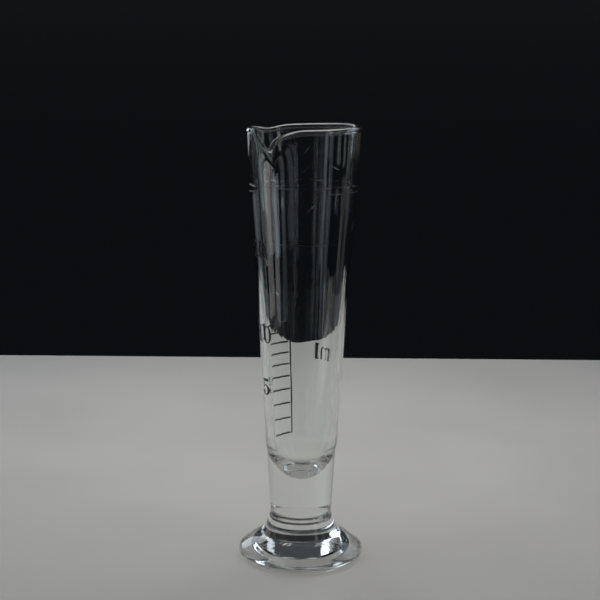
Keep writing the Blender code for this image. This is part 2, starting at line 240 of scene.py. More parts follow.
class Graph:
    """A small builder for node trees, for materials and for shared groups."""

    def __init__(self, tree: bpy.types.NodeTree) -> None:
        """Takes the tree that it adds nodes to."""
        self.tree = tree

    def node(self, kind: str, **settings: object) -> bpy.types.Node:
        """Adds one node.

        Args:
            kind: The node's type name without its ShaderNode prefix.
            settings: Node properties by name.

        Returns:
            The new node.
        """
        made = self.tree.nodes.new("ShaderNode" + kind)
        for name, value in settings.items():
            setattr(made, name, value)
        return made

    def feed(self, socket: Socket, value: object) -> None:
        """Links an output to a socket, or sets the socket to a plain value.

        Args:
            socket: The input to feed.
            value: Another node's output, or a number, a colour or a vector.
        """
        if isinstance(value, Socket):
            self.tree.links.new(value, socket)
        else:
            socket.default_value = value

    def math(self, operation: str, *values: object, clamp: bool = False) -> Socket:
        """Adds a Math node.

        Args:
            operation: What it does, such as ADD.
            values: What goes into it.
            clamp: Whether the result stays between 0 and 1.

        Returns:
            Its output.
        """
        made = self.node("Math", operation=operation, use_clamp=clamp)
        for socket, value in zip(made.inputs, values):
            self.feed(socket, value)
        return made.outputs[0]

    def plus(self, first: object, second: object) -> Socket:
        """Adds two values."""
        return self.math("ADD", first, second)

    def minus(self, first: object, second: object) -> Socket:
        """Takes the second value from the first."""
        return self.math("SUBTRACT", first, second)

    def times(self, first: object, second: object) -> Socket:
        """Multiplies two values."""
        return self.math("MULTIPLY", first, second)

    def over(self, first: object, second: object) -> Socket:
        """Divides the first value by the second."""
        return self.math("DIVIDE", first, second)

    def fading(self, away: object, reach: object) -> Socket:
        """Falls from 1 at no distance to 0 at the reach and beyond it."""
        return self.math("SUBTRACT", 1.0, self.over(away, reach), clamp=True)

    def remap(self, value: object, low: float, high: float, to_low: float, to_high: float) -> Socket:
        """Maps a range smoothly to another one and stays within it.

        Args:
            value: What to map.
            low: The value that gives to_low.
            high: The value that gives to_high.
            to_low: The result at low.
            to_high: The result at high.

        Returns:
            The mapped value.
        """
        made = self.node("MapRange", interpolation_type="SMOOTHSTEP")
        names = ("Value", "From Min", "From Max", "To Min", "To Max")
        for name, given in zip(names, (value, low, high, to_low, to_high)):
            self.feed(made.inputs[name], given)
        return made.outputs["Result"]

    def noise(self, vector: object, scale: object, detail: float = 2.0, rough: float = 0.5) -> Socket:
        """Adds a Noise texture.

        Args:
            vector: The place that it is read at.
            scale: How fine it is.
            detail: How many finer layers it has.
            rough: How strong the finer layers are.

        Returns:
            Its factor, which lies round 0.5.
        """
        made = self.node("TexNoise")
        names = ("Vector", "Scale", "Detail", "Roughness")
        for name, given in zip(names, (vector, scale, detail, rough)):
            self.feed(made.inputs[name], given)
        return made.outputs["Fac"]

    def combine(self, x: object, y: object, z: object) -> Socket:
        """Puts three values together.

        Args:
            x: The first value.
            y: The second value.
            z: The third value.

        Returns:
            The vector of the three.
        """
        made = self.node("CombineXYZ")
        for socket, value in zip(made.inputs, (x, y, z)):
            self.feed(socket, value)
        return made.outputs[0]

    def split(self, vector: object) -> tuple[Socket, ...]:
        """Takes a vector apart.

        Args:
            vector: The vector.

        Returns:
            Its x, y and z.
        """
        made = self.node("SeparateXYZ")
        self.feed(made.inputs[0], vector)
        return tuple(made.outputs)

    def mix_colour(self, factor: object, first: object, second: object) -> Socket:
        """Mixes two colours.

        Args:
            factor: 0 for the first colour and 1 for the second.
            first: The first colour.
            second: The second colour.

        Returns:
            The mixed colour.
        """
        made = self.node("Mix", data_type="RGBA")
        for number, value in ((MIX_FACTOR, factor), (MIX_FIRST, first), (MIX_SECOND, second)):
            self.feed(made.inputs[number], value)
        return made.outputs[MIX_RESULT]

    def raise_surface(self, shader: bpy.types.Node, height: object, strength: float, distance: float) -> None:
        """Gives a shader a fine relief through a Bump node.

        Args:
            shader: The shader whose normal it turns.
            height: The relief's height.
            strength: The node's strength.
            distance: How many metres a height of 1 is.
        """
        bump = self.node("Bump")
        for name, given in (("Strength", strength), ("Distance", distance), ("Height", height)):
            self.feed(bump.inputs[name], given)
        self.feed(shader.inputs["Normal"], bump.outputs["Normal"])


def new_group(name: str, inputs: dict[str, float], output: str) -> tuple[Graph, object, Socket]:
    """Starts a node group that takes a vector and some numbers and gives one number.

    Args:
        name: The group's name.
        inputs: Number inputs and their usual values.
        output: The name of the number output.

    Returns:
        A graph to add nodes with, the values given to the group, and its output.
    """
    tree = bpy.data.node_groups.new(name, "ShaderNodeTree")
    tree.interface.new_socket("Vector", in_out="INPUT", socket_type="NodeSocketVector")
    for socket, value in inputs.items():
        made = tree.interface.new_socket(socket, in_out="INPUT", socket_type="NodeSocketFloat")
        made.default_value = value
    tree.interface.new_socket(output, in_out="OUTPUT", socket_type="NodeSocketFloat")
    given = tree.nodes.new("NodeGroupInput").outputs
    return Graph(tree), given, tree.nodes.new("NodeGroupOutput").inputs[output]


def round_coordinates(graph: Graph, vector: Socket) -> tuple[Socket, ...]:
    """Finds where a place lies round the upright axis.

    Args:
        graph: The graph to add the nodes to.
        vector: The place, in object coordinates.

    Returns:
        The x and y of the unit direction from the axis, and the height.
    """
    x, y, z = graph.split(vector)
    radius = graph.math("SQRT", graph.plus(graph.times(x, x), graph.times(y, y)))
    safe = graph.math("MAXIMUM", radius, LEAST_RADIUS)
    return graph.over(x, safe), graph.over(y, safe), z


class SharedGroups:
    """The effects that the finishes are made of, each built once."""

    def __init__(self) -> None:
        """Builds every group."""
        self.striae = self._striae()
        self.rubbed_band = self._rubbed_band()
        self.hairline = self._hairline()
        self.specks = self._specks()

    @staticmethod
    def _striae() -> bpy.types.NodeTree:
        """Makes the long faint ripples down drawn glass, as a height.

        Returns:
            The group's tree.
        """
        finer = 2.7
        finer_share = 0.28
        graph, given, height = new_group("Drawn glass striae", {"Round": 9.0, "Along": 6.0}, "Height")
        x, y, z = round_coordinates(graph, given["Vector"])
        coarse = graph.combine(
            graph.times(x, given["Round"]), graph.times(y, given["Round"]), graph.times(z, given["Along"])
        )
        fine = graph.node("VectorMath", operation="SCALE")
        graph.feed(fine.inputs[0], coarse)
        graph.feed(fine.inputs["Scale"], finer)
        ripples = graph.times(graph.noise(fine.outputs[0], 1.0, detail=2.0), finer_share)
        graph.feed(height, graph.plus(graph.noise(coarse, 1.0, detail=1.0), ripples))
        return graph.tree

    @staticmethod
    def _rubbed_band() -> bpy.types.NodeTree:
        """Makes a thin broken ring of rubbing at one height, as from a neighbour on a shelf.

        Returns:
            The group's tree.
        """
        apart = 900.0
        graph, given, mask = new_group(
            "Rubbed band", {"Level": 0.1, "Width": 0.0001, "Wobble": 0.0004, "Grain": 40.0}, "Mask"
        )
        x, y, z = round_coordinates(graph, given["Vector"])
        place = graph.combine(x, y, graph.times(given["Level"], apart))
        drift = graph.minus(graph.noise(place, 3.5, detail=4.0, rough=0.6), 0.5)
        level = graph.plus(given["Level"], graph.times(drift, given["Wobble"]))
        line = graph.fading(graph.math("ABSOLUTE", graph.minus(z, level)), given["Width"])
        stretch = graph.remap(graph.noise(place, 2.2), 0.38, 0.60, 0.15, 1.0)
        grain = graph.remap(graph.noise(place, given["Grain"], rough=0.7), 0.44, 0.60, 0.0, 1.0)
        graph.feed(mask, graph.times(line, graph.times(stretch, grain)))
        return graph.tree

    @staticmethod
    def _hairline() -> bpy.types.NodeTree:
        """Makes one hair-thin scratch at a turn and a level, with a lean, that fades at its ends.

        Returns:
            The group's tree.
        """
        wander_size = 0.0006
        graph, given, mask = new_group(
            "Hairline scratch",
            {"Turn": 0.0, "Level": 0.1, "Lean": 0.8, "Reach": 0.001, "Width": 0.00005, "Radius": 0.0145},
            "Mask",
        )
        x, y, z = round_coordinates(graph, given["Vector"])
        turn = graph.minus(graph.math("ARCTAN2", y, x), given["Turn"])
        across = graph.times(graph.math("WRAP", turn, math.pi, -math.pi), given["Radius"])
        along = graph.minus(z, given["Level"])
        cosine = graph.math("COSINE", given["Lean"])
        sine = graph.math("SINE", given["Lean"])
        forward = graph.plus(graph.times(across, cosine), graph.times(along, sine))
        aside = graph.minus(graph.times(along, cosine), graph.times(across, sine))
        wander = graph.minus(graph.noise(given["Vector"], 420.0), 0.5)
        aside = graph.plus(aside, graph.times(wander, wander_size))
        line = graph.fading(graph.math("ABSOLUTE", aside), given["Width"])
        share = graph.over(graph.math("ABSOLUTE", forward), given["Reach"])
        graph.feed(mask, graph.times(line, graph.remap(share, 0.5, 1.0, 1.0, 0.0)))
        return graph.tree

    @staticmethod
    def _specks() -> bpy.types.NodeTree:
        """Makes small rounded pits or flecks, scattered by a cell pattern.

        Returns:
            The group's tree.
        """
        patch_share = 0.21
        graph, given, mask = new_group("Specks", {"Cells": 900.0, "Size": 0.25, "Share": 0.3}, "Mask")
        cells = graph.node("TexVoronoi", feature="F1")
        graph.feed(cells.inputs["Vector"], given["Vector"])
        graph.feed(cells.inputs["Scale"], given["Cells"])
        dot = graph.fading(cells.outputs["Distance"], given["Size"])
        patch = graph.noise(given["Vector"], graph.times(given["Cells"], patch_share), detail=1.0)
        present = graph.math("LESS_THAN", patch, given["Share"])
        graph.feed(mask, graph.times(dot, present))
        return graph.tree


def new_material(name: str) -> tuple[bpy.types.Material, Graph, bpy.types.Node, Socket]:
    """Starts a node material.

    Args:
        name: The material's name.

    Returns:
        The material, a graph on its tree, its Principled node and the object coordinates.
    """
    made = bpy.data.materials.new(name)
    made.use_nodes = True
    graph = Graph(made.node_tree)
    shader = made.node_tree.nodes["Principled BSDF"]
    return made, graph, shader, graph.node("TexCoord").outputs["Object"]


def use_group(graph: Graph, tree: bpy.types.NodeTree, vector: Socket, **values: float) -> Socket:
    """Places a shared group in a graph with its own values.

    Args:
        graph: The graph to place it in.
        tree: The group's tree.
        vector: The place that it reads.
        values: The group's numbers by name.

    Returns:
        Its output.
    """
    made = graph.node("Group")
    made.node_tree = tree
    for name, value in {"Vector": vector, **values}.items():
        graph.feed(made.inputs[name], value)
    return made.outputs[0]


@dataclass(frozen=True)
class Hairline:
    """Where one scratch runs: its turn round the axis, its level, lean, half length and width."""

    turn: float
    level: float
    lean: float
    reach: float
    width: float = 0.00006


@dataclass(frozen=True)
class FusedGlass:
    """Old clear glass: drawn striae, two rubbed rings, a few hairlines and a scuffed contact ring."""

    tint: Colour = (0.968, 0.986, 0.974, 1.0)
    refraction: float = 1.515
    polish: float = 0.003
    dull_polish: float = 0.012
    scuffed: float = 0.55
    band_levels: tuple[float, float] = (0.1073, 0.1091)
    band_wobbles: tuple[float, float] = (0.0005, 0.0022)
    band_width: float = 0.00013
    stria_depth: float = 0.000035
    wear_depth: float = 0.00002
    foot_wear_height: float = 0.0004
    hairlines: tuple[Hairline, ...] = (
        Hairline(math.radians(306), 0.1195, 0.9, 0.0016),
        Hairline(math.radians(338), 0.1145, -0.45, 0.0013),
        Hairline(math.radians(311), 0.1035, 0.8, 0.0019),
        Hairline(math.radians(20), 0.0980, 1.1, 0.0024),
        Hairline(math.radians(120), 0.1120, -0.7, 0.0018),
        Hairline(math.radians(165), 0.0760, 0.5, 0.0015),
        Hairline(math.radians(255), 0.0880, -1.2, 0.0014),
    )

    def build(self, groups: SharedGroups) -> bpy.types.Material:
        """Builds the glass material.

        Args:
            groups: The shared effects.

        Returns:
            The finished material.
        """
        made, graph, shader, place = new_material("fused_clear_glass")
        shader.inputs["Base Color"].default_value = self.tint
        shader.inputs["Metallic"].default_value = 0.0
        shader.inputs["IOR"].default_value = self.refraction
        shader.inputs["Transmission Weight"].default_value = 1.0
        wear = self._wear(graph, groups, place)
        rough = graph.remap(graph.noise(place, 160.0, detail=3.0), 0.35, 0.75, self.polish, self.dull_polish)
        rough = graph.math("MAXIMUM", rough, graph.times(wear, self.scuffed))
        graph.feed(shader.inputs["Roughness"], rough)
        striae = use_group(graph, groups.striae, place, Round=7.0, Along=5.0)
        height = graph.minus(graph.times(striae, self.stria_depth), graph.times(wear, self.wear_depth))
        graph.raise_surface(shader, height, 1.0, 1.0)
        return made

    def _wear(self, graph: Graph, groups: SharedGroups, place: Socket) -> Socket:
        """Adds up the rubbed rings, the hairlines and the worn contact ring.

        Args:
            graph: The glass material's graph.
            groups: The shared effects.
            place: The object coordinates.

        Returns:
            How worn the surface is, from 0 to 1.
        """
        masks = [
            use_group(graph, groups.rubbed_band, place, Level=level, Width=self.band_width, Wobble=wobble)
            for level, wobble in zip(self.band_levels, self.band_wobbles)
        ]
        masks += [
            use_group(
                graph, groups.hairline, place, Turn=line.turn, Level=line.level, Lean=line.lean,
                Reach=line.reach, Width=line.width,
            )
            for line in self.hairlines
        ]
        low = graph.remap(graph.split(place)[2], 0.0, self.foot_wear_height, 1.0, 0.0)
        grain = graph.remap(graph.noise(place, 900.0, detail=3.0), 0.4, 0.6, 0.2, 0.7)
        total = graph.times(low, grain)
        for mask in masks:
            total = graph.math("MAXIMUM", total, mask)
        return total


@dataclass(frozen=True)
class FiredEnamel:
    """Dark red-brown enamel, a little thin and rubbed in places."""

    name: str
    dark: Colour = (0.012, 0.004, 0.0035, 1.0)
    thin: Colour = (0.040, 0.012, 0.009, 1.0)
    gloss: float = 0.28
    rubbed: float = 0.62
    relief: float = 0.00003

    def build(self, groups: SharedGroups) -> bpy.types.Material:
        """Builds the enamel material.

        Args:
            groups: The shared effects.

        Returns:
            The finished material.
        """
        made, graph, shader, place = new_material(self.name)
        cloud = graph.remap(graph.noise(place, 700.0, detail=4.0, rough=0.6), 0.42, 0.66, 0.0, 1.0)
        specks = use_group(graph, groups.specks, place, Cells=3800.0, Size=0.34, Share=0.42)
        worn = graph.math("MAXIMUM", cloud, specks)
        graph.feed(shader.inputs["Base Color"], graph.mix_colour(worn, self.dark, self.thin))
        graph.feed(shader.inputs["Roughness"], graph.remap(worn, 0.0, 1.0, self.gloss, self.rubbed))
        graph.raise_surface(shader, graph.minus(graph.noise(place, 2600.0), specks), 0.5, self.relief)
        return made


@dataclass(frozen=True)
class PaleTop:
    """The plain pale surface that the measure stands on."""

    colour: Colour = (0.56, 0.55, 0.53, 1.0)
    darker: Colour = (0.532, 0.5225, 0.5035, 1.0)
    roughness: float = 0.6
    rougher: float = 0.68

    def build(self) -> bpy.types.Material:
        """Builds the floor's material.

        Returns:
            The finished material.
        """
        made, graph, shader, place = new_material("pale_top")
        shade = graph.remap(graph.noise(place, 14.0, detail=3.0), 0.3, 0.7, 0.0, 1.0)
        graph.feed(shader.inputs["Base Color"], graph.mix_colour(shade, self.darker, self.colour))
        graph.feed(shader.inputs["Roughness"], graph.remap(shade, 0.0, 1.0, self.roughness, self.rougher))
        return made


# --- the glass -------------------------------------------------------------------------------


@dataclass
class Vessel:
    """Foot, collar, stem and bowl as one body of glass, turned and then worked by hand.

    The overall heights and radii are read from the frame.
    """

    segments: int = 300
    half_gap: float = 0.00015
    stem_inset: float = 0.0002
    same_radius: float = 0.0001
    stem_end: float = 0.001

    recess_depth: float = 0.0010
    recess_steps: int = 6
    recess_side: float = 0.0013
    contact_width: float = 0.0027
    edge_undercut: float = 0.0034
    edge_half_height: float = 0.0024
    edge_top: float = math.radians(40)
    edge_steps: int = 26
    foot_crown: float = 0.00035
    foot_steps: int = 12
    crease_radius: float = 0.0006
    crease_depth: float = 0.00022
    crease_out: float = 0.00042
    crease_under: float = 0.00009
    crease_over: float = 0.00021
    collar_flare: float = 1.6
    collar_crease_share: float = 0.07
    collar_steps: int = 22
    stem_setback: float = 0.00012
    stem_steps: int = 26

    rim_wall: float = 0.0011
    lower_wall: float = 0.0021
    thinning_share: float = 0.65
    shoulder_rise: float = 0.0040
    cavity_below_seam: float = 0.0088
    bottom_power: float = 1.5
    bottom_steps: int = 32
    seam_swell: float = 0.00018
    seam_swell_rise: float = 0.003
    seam_swell_reach: float = 0.0035
    wall_steps: int = 34
    upper_steps: int = 22
    upper_crowding: float = 1.25
    bead_swell: float = 0.00022
    bead_room: float = 1.3
    bead_wrap: float = 0.25
    bead_steps: int = 16

    lip_angle: float = math.radians(270)
    lip_half_width: float = math.radians(34)
    lip_drop: float = 0.0052
    lip_even_power: float = 1.9
    lip_steep_share: float = 0.45
    lip_steep_power: float = 20.0
    lip_reach: float = 0.0016
    lip_curl: float = 4.5
    lip_pinch: float = 0.0003
    lip_depth: float = 0.0150
    lip_rounding: float = 0.07
    lip_channel: float = 0.50
    rim_tilt: float = 0.00035
    rim_tilt_side: float = math.radians(55)
    rim_ripple: float = 0.00012
    rim_sag: float = 0.00085
    rim_sag_side: float = math.radians(164)
    rim_sag_width: float = math.radians(15)

    outer_wobble: float = 0.00004
    outer_pattern: float = 3.0
    inner_wobble: float = 0.00007
    inner_pattern: float = 11.0
    wave_round: float = 2.6
    wave_along: float = 26.0
    ripple_share: float = 0.14
    ripple_round: float = 6.5
    ripple_along: float = 11.0
    uneven_below: float = 0.004
    uneven_above: float = 0.012
    bulge: float = 0.00018
    bulge_height: float = 0.107
    bulge_reach: float = 0.009
    waist: float = 0.00020
    waist_height: float = 0.081
    waist_reach: float = 0.012

    rim_height: float = field(init=False)
    mouth_radius: float = field(init=False)
    seam_height: float = field(init=False)
    seam_radius: float = field(init=False)
    shoulder: float = field(init=False)
    floor: float = field(init=False)
    stem_base: float = field(init=False)
    stem_radius: float = field(init=False)
    collar_base: float = field(init=False)
    collar_radius: float = field(init=False)
    foot_radius: float = field(init=False)

    def __post_init__(self) -> None:
        """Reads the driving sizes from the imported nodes."""
        self.rim_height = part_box("bowl")[1].z
        self.mouth_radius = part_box("bowl")[1].x
        self.seam_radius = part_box("stem")[1].x + self.stem_inset
        seam_zone = self.seam_radius - self.same_radius
        self.seam_height = min(z for radius, z in radii_and_heights("bowl") if radius > seam_zone)
        self.shoulder = self.seam_height + self.shoulder_rise
        self.floor = self.seam_height - self.cavity_below_seam
        self.collar_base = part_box("collar")[0].z - self.half_gap
        self.collar_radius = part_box("collar")[1].x
        self.stem_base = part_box("stem")[0].z - self.half_gap
        stem_zone = self.stem_base + self.stem_end
        self.stem_radius = max(radius for radius, z in radii_and_heights("stem") if z < stem_zone)
        self.foot_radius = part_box("foot")[1].x

    # the turned shape

    def outer_radius(self, z: float) -> float:
        """The straight outside of the bowl at a height."""
        rise = (z - self.seam_height) / (self.rim_height - self.seam_height)
        return self.seam_radius + (self.mouth_radius - self.seam_radius) * rise

    def inner_radius(self, z: float) -> float:
        """Finds the inside of the bowl, which thins upwards and is rounded below its shoulder.

        Args:
            z: A height above the cavity's floor.

        Returns:
            The radius of the inside there.
        """
        if z >= self.shoulder:
            rise = (z - self.shoulder) / (self.rim_height - self.shoulder)
            thinned = smoothstep(0.0, self.thinning_share, rise)
            return self.outer_radius(z) - self.lower_wall - (self.rim_wall - self.lower_wall) * thinned
        share = min(1.0, (self.shoulder - z) / (self.shoulder - self.floor))
        top_radius = self.outer_radius(self.shoulder) - self.lower_wall
        return top_radius * math.sqrt(max(0.0, 1.0 - share**self.bottom_power))

    def foot_profile(self) -> list[Point]:
        """Draws the underside, the contact ring, the full-round edge and the top of the foot.

        Returns:
            Radius and height from the axis under the foot to the crease round the collar.
        """
        ring_outer = self.foot_radius - self.edge_undercut
        ring_inner = ring_outer - self.contact_width
        points = [(0.0, self.recess_depth)]
        points += [(ring_inner * share, self.recess_depth) for share in (0.15, 0.3, 0.45, 0.6, 0.72, 0.82)]
        for step in range(self.recess_steps + 1):
            share = step / self.recess_steps
            radius = ring_inner - self.recess_side * (1 - share)
            points.append((radius, self.recess_depth * (1 - smoothstep(0.0, 1.0, share))))
        points += [(ring_inner + self.contact_width * share, 0.0) for share in (0.2, 0.5, 0.8)]
        for step in range(self.edge_steps + 1):
            turn = -math.pi / 2 + (self.edge_top + math.pi / 2) * step / self.edge_steps
            radius = ring_outer + self.edge_undercut * math.cos(turn)
            points.append((radius, self.edge_half_height * (1.0 + math.sin(turn))))
        edge_radius, edge_height = points[-1]
        inner = self.collar_radius + self.crease_out
        top = self.collar_base - self.crease_under
        for step in range(1, self.foot_steps + 1):
            share = step / self.foot_steps
            crown = self.foot_crown * math.sin(math.pi * share)
            radius = edge_radius + (inner - edge_radius) * share
            points.append((radius, edge_height + (top - edge_height) * share + crown))
        return points

    def collar_profile(self) -> list[Point]:
        """Draws the hollow-sided flare between two soft creases.

        Returns:
            Radius and height from the foot to the stem.
        """
        base = self.collar_base + self.crease_over
        points = []
        for step in range(self.collar_steps + 1):
            share = step / self.collar_steps
            spread = (self.collar_radius - self.stem_radius) * (1.0 - share) ** self.collar_flare
            crease = self.crease_depth * hump(share, 1.0, self.collar_crease_share)
            points.append((self.stem_radius + spread - crease, base + (self.stem_base - base) * share))
        return points

    def stem_profile(self) -> list[Point]:
        """Draws the solid column, a little thinner than the bowl's gather that it meets.

        Returns:
            Radius and height from the collar to the seam.
        """
        points = []
        top_radius = self.seam_radius - self.stem_setback
        for step in range(1, self.stem_steps):
            share = step / self.stem_steps
            z = self.stem_base + (self.seam_height - self.stem_base) * share
            crease = self.crease_depth * hump(z, self.stem_base, self.crease_radius)
            points.append((self.stem_radius + (top_radius - self.stem_radius) * share - crease, z))
        return points

    def bowl_profile(self) -> list[Point]:
        """Draws the wall up to the rim, over its bead, and down the inside to the cavity's floor.

        Returns:
            Radius and height from the seam outside to the axis inside.
        """
        top = self.rim_height
        straight = top - self.lip_depth - self.seam_height
        levels = [self.seam_height + straight * n / self.wall_steps for n in range(self.wall_steps + 1)]
        levels += [
            top - self.lip_depth * (1 - n / self.upper_steps) ** self.upper_crowding
            for n in range(1, self.upper_steps)
        ]
        bead = self.rim_wall / 2 + self.bead_swell
        levels = [z for z in levels if z < top - bead * self.bead_room]
        points = []
        for z in levels:
            swell = self.seam_swell * hump(z, self.seam_height + self.seam_swell_rise, self.seam_swell_reach)
            points.append((self.outer_radius(z) + swell, z))
        centre = self.mouth_radius - self.rim_wall / 2 - self.bead_swell / 2
        for step in range(self.bead_steps + 1):
            turn = -self.bead_wrap + (math.pi + 2 * self.bead_wrap) * step / self.bead_steps
            points.append((centre + bead * math.cos(turn), top - bead + bead * math.sin(turn)))
        points += [(self.inner_radius(z), z) for z in reversed(levels) if z > self.shoulder]
        for step in range(self.bottom_steps):
            sunk = math.sin(math.pi / 2 * step / self.bottom_steps)
            z = self.shoulder - (self.shoulder - self.floor) * sunk
            points.append((self.inner_radius(z), z))
        return points + [(0.0, self.floor)]

    # the hand work

    def lip_shape(self, angle: float) -> float:
        """Finds how strongly the lip is pulled.

        Args:
            angle: A turn round the axis.

        Returns:
            1 at the lip's tip, and 0 outside its width.
        """
        turn = abs(turn_between(angle, self.lip_angle)) / self.lip_half_width
        rounded = math.hypot(turn, self.lip_rounding) - self.lip_rounding
        return max(0.0, 1.0 - rounded)

    def lip_fall(self, angle: float) -> float:
        """Finds how far the lip is pulled down. One side is steep only near the tip.

        Args:
            angle: A turn round the axis.

        Returns:
            The fall of the rim in metres.
        """
        shape = self.lip_shape(angle)
        even = shape**self.lip_even_power
        if turn_between(angle, self.lip_angle) > 0:
            even += (shape**self.lip_steep_power - even) * self.lip_steep_share
        return self.lip_drop * even

    def rim_level(self, angle: float) -> float:
        """Finds how far the rim lies below its highest possible level, leaving out the lip.

        Args:
            angle: A turn round the axis.

        Returns:
            The drop in metres.
        """
        tilt = self.rim_tilt * (1 - math.cos(angle - self.rim_tilt_side))
        ripple = self.rim_ripple * (1 - math.cos(2 * (angle - self.rim_tilt_side)))
        sag = self.rim_sag * hump(turn_between(angle, self.rim_sag_side), 0.0, self.rim_sag_width)
        return tilt + ripple + sag

    def work_by_hand(self, place: Vector) -> Vector:
        """Moves a point of the turned shape to where the worked glass has it.

        Args:
            place: A point of the turned shape.

        Returns:
            The same point after the lip, the rim and the slight unevenness.
        """
        radius = math.hypot(place.x, place.y)
        if radius < ON_AXIS:
            return place
        angle = math.atan2(place.y, place.x)
        z = place.z
        follow = max(0.0, (z - (self.rim_height - self.lip_depth)) / self.lip_depth)
        shape = self.lip_shape(angle)
        pinch = math.sin(math.pi * min(1.0, 2.0 * shape)) if shape < 0.5 else 0.0
        turn = turn_between(angle, self.lip_angle) / self.lip_half_width
        reach = self.lip_reach * hump(turn, 0.0, self.lip_channel) - self.lip_pinch * pinch
        out = follow**self.lip_curl * reach + self._unevenness(radius, angle, z)
        drop = follow * (self.rim_level(angle) + self.lip_fall(angle))
        scale = (radius + out) / radius
        return Vector((place.x * scale, place.y * scale, z - drop))

    def _unevenness(self, radius: float, angle: float, z: float) -> float:
        """Finds the small change of radius of the outer or the inner surface of the wall.

        Args:
            radius: The point's distance from the axis, which tells outside from inside.
            angle: Its turn round the axis.
            z: Its height.

        Returns:
            The change in metres.
        """
        if z < self.floor:
            return 0.0
        middle_of_wall = self.outer_radius(z) - self.rim_wall * 0.6
        inside = radius < middle_of_wall and z > self.seam_height
        reach, pattern = (
            (self.inner_wobble, self.inner_pattern) if inside else (self.outer_wobble, self.outer_pattern)
        )
        x, y = math.cos(angle), math.sin(angle)
        wave = Vector((x * self.wave_round, y * self.wave_round, z * self.wave_along + pattern))
        fine = Vector((x * self.ripple_round, y * self.ripple_round, z * self.ripple_along + pattern))
        ripple = noise.noise(wave) + self.ripple_share * noise.noise(fine)
        swell = self.bulge * hump(z, self.bulge_height, self.bulge_reach)
        swell -= self.waist * hump(z, self.waist_height, self.waist_reach)
        fade = smoothstep(self.seam_height - self.uneven_below, self.seam_height + self.uneven_above, z)
        return fade * (reach * ripple + swell)

    # building

    def build(self) -> bpy.types.Object:
        """Turns the profile, closes it and works it by hand.

        Returns:
            The glass body, with its place in its mesh.
        """
        profile = self.foot_profile() + self.collar_profile() + self.stem_profile() + self.bowl_profile()
        deselect()
        bpy.ops.mesh.primitive_plane_add(size=0.001, location=(profile[0][0], 0.0, profile[0][1]))
        body = bpy.context.object
        body.name = body.data.name = "glass_body"
        bpy.ops.object.mode_set(mode="EDIT")
        bpy.ops.mesh.select_all(action="SELECT")
        bpy.ops.mesh.merge(type="CENTER")
        for (r0, z0), (r1, z1) in zip(profile, profile[1:]):
            bpy.ops.mesh.extrude_vertices_move(TRANSFORM_OT_translate={"value": (r1 - r0, 0.0, z1 - z0)})
        bpy.ops.mesh.select_all(action="SELECT")
        bpy.ops.mesh.spin(steps=self.segments, angle=math.tau, center=(0, 0, 0), axis=(0, 0, 1))
        bpy.ops.mesh.select_all(action="SELECT")
        bpy.ops.mesh.remove_doubles(threshold=MERGE_DISTANCE)
        bpy.ops.mesh.normals_make_consistent(inside=False)
        bpy.ops.object.mode_set(mode="OBJECT")
        settle(body)
        for vert in body.data.vertices:
            vert.co = self.work_by_hand(vert.co.copy())
        only(body)
        bpy.ops.object.shade_smooth()
        return body

    def dress(self, body: bpy.types.Object, glass: bpy.types.Material) -> None:
        """Gives the glass its material and its place in the frame.

        Args:
            body: The glass body.
            glass: Its material.
        """
        body.data.materials.clear()
        body.data.materials.append(glass)
        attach(body, ROOT_BODY)
        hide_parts("bowl", "stem", "collar", "foot")


def settle(obj: bpy.types.Object) -> None:
    """Puts an object's place, turn and scale into its mesh."""
    only(obj)
    bpy.ops.object.transform_apply(location=True, rotation=True, scale=True)


# --- the scale -------------------------------------------------------------------------------


